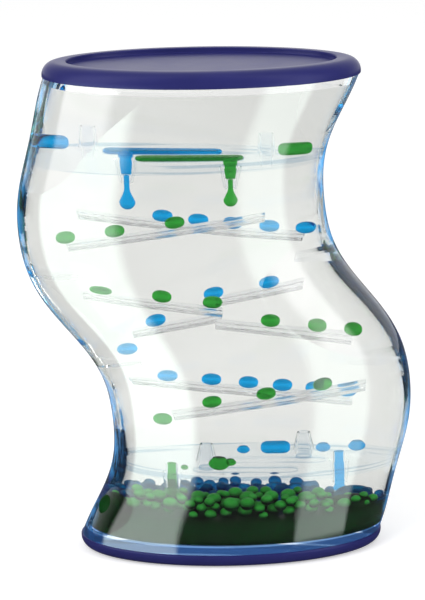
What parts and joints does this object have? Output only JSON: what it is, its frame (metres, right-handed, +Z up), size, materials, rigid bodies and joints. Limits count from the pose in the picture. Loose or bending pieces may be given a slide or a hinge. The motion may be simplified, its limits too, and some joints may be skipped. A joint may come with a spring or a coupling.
{
  "type": "liquid motion timer",
  "caption": "Clear S-shaped liquid timer with navy oval caps, in which green and blue oil drops roll down ramps in two lanes",
  "frame": {"origin": "middle of the bounding box, on the surface the timer stands on", "axes": "+X to the right, +Z up, -Y is the front, the face of the S with the green lane nearer"},
  "size_m": [0.109, 0.04, 0.141],
  "materials": {
    "cap_plastic": "moulded, glossy with a soft sheen",
    "clear_acrylic": "clear, polished",
    "plug_plastic": "moulded, half clear",
    "green_oil": "liquid, dyed green",
    "blue_oil": "liquid, dyed blue",
    "clear_liquid": "liquid, clear"
  },
  "bodies": {
    "timer": {"blue_beads": "blue_oil", "blue_fill_plug": "plug_plastic", "blue_lower_ledge": "clear_acrylic", "blue_ramp_1": "clear_acrylic", "blue_ramp_2": "clear_acrylic", "blue_ramp_3": "clear_acrylic", "blue_ramp_4": "clear_acrylic", "blue_settled_oil": "blue_oil", "blue_tray_oil": "blue_oil", "blue_tray_pool": "blue_oil", "blue_upper_ledge": "clear_acrylic", "bottom_cap": "cap_plastic", "bottom_closure": "clear_acrylic", "bottom_partition": "clear_acrylic", "bottom_tray": "clear_acrylic", "centre_plate": "clear_acrylic", "clear_liquid": "clear_liquid", "front_shell": "clear_acrylic", "green_beads": "green_oil", "green_fill_plug": "plug_plastic", "green_lower_ledge": "clear_acrylic", "green_ramp_1": "clear_acrylic", "green_ramp_2": "clear_acrylic", "green_ramp_3": "clear_acrylic", "green_ramp_4": "clear_acrylic", "green_settled_oil": "green_oil", "green_tray_oil": "green_oil", "green_tray_pool": "green_oil", "green_upper_ledge": "clear_acrylic", "rear_shell": "clear_acrylic", "top_cap": "cap_plastic", "top_closure": "clear_acrylic", "top_partition": "clear_acrylic", "top_tray": "clear_acrylic"},
    "green_train_1": {"green_drops_1": "green_oil"},
    "green_train_2": {"green_drops_2": "green_oil"},
    "green_train_3": {"green_drops_3": "green_oil"},
    "green_train_4": {"green_drops_4": "green_oil"},
    "green_faller": {"green_falling_drop": "green_oil"},
    "green_pendant": {"green_hanging_drop": "green_oil"},
    "blue_train_1": {"blue_drops_1": "blue_oil"},
    "blue_train_2": {"blue_drops_2": "blue_oil"},
    "blue_train_3": {"blue_drops_3": "blue_oil"},
    "blue_train_4": {"blue_drops_4": "blue_oil"},
    "blue_faller": {"blue_falling_drop": "blue_oil"},
    "blue_pendant": {"blue_hanging_drop": "blue_oil"}
  },
  "joints": [
    {"name": "green_roll_1", "type": "slide", "parent": "timer", "child": "green_train_1", "axis": [-0.9907, 0, -0.1361], "range_m": [0, 0.0029]},
    {"name": "green_roll_2", "type": "slide", "parent": "timer", "child": "green_train_2", "axis": [0.9861, 0, -0.1663], "range_m": [0, 0.006]},
    {"name": "green_roll_3", "type": "slide", "parent": "timer", "child": "green_train_3", "axis": [0.9861, 0, -0.1663], "range_m": [0, 0.0029]},
    {"name": "green_roll_4", "type": "slide", "parent": "timer", "child": "green_train_4", "axis": [-0.9907, 0, -0.1361], "range_m": [0, 0.0094]},
    {"name": "green_free_fall", "type": "slide", "parent": "timer", "child": "green_faller", "axis": [0, 0, -1], "range_m": [0, 0.0109]},
    {"name": "green_break_away", "type": "slide", "parent": "timer", "child": "green_pendant", "axis": [0, 0, -1], "range_m": [0, 0.0034]},
    {"name": "blue_roll_1", "type": "slide", "parent": "timer", "child": "blue_train_1", "axis": [0.9893, 0, -0.1458], "range_m": [0, 0.0012]},
    {"name": "blue_roll_2", "type": "slide", "parent": "timer", "child": "blue_train_2", "axis": [-0.9906, 0, -0.1369], "range_m": [0, 0.0029]},
    {"name": "blue_roll_3", "type": "slide", "parent": "timer", "child": "blue_train_3", "axis": [-0.9906, 0, -0.1369], "range_m": [0, 0.0091]},
    {"name": "blue_roll_4", "type": "slide", "parent": "timer", "child": "blue_train_4", "axis": [0.9893, 0, -0.1458], "range_m": [0, 0.0046]},
    {"name": "blue_free_fall", "type": "slide", "parent": "timer", "child": "blue_faller", "axis": [0, 0, -1], "range_m": [0, 0.001]},
    {"name": "blue_break_away", "type": "slide", "parent": "timer", "child": "blue_pendant", "axis": [0, 0, -1], "range_m": [0, 0.0018]}
  ]
}
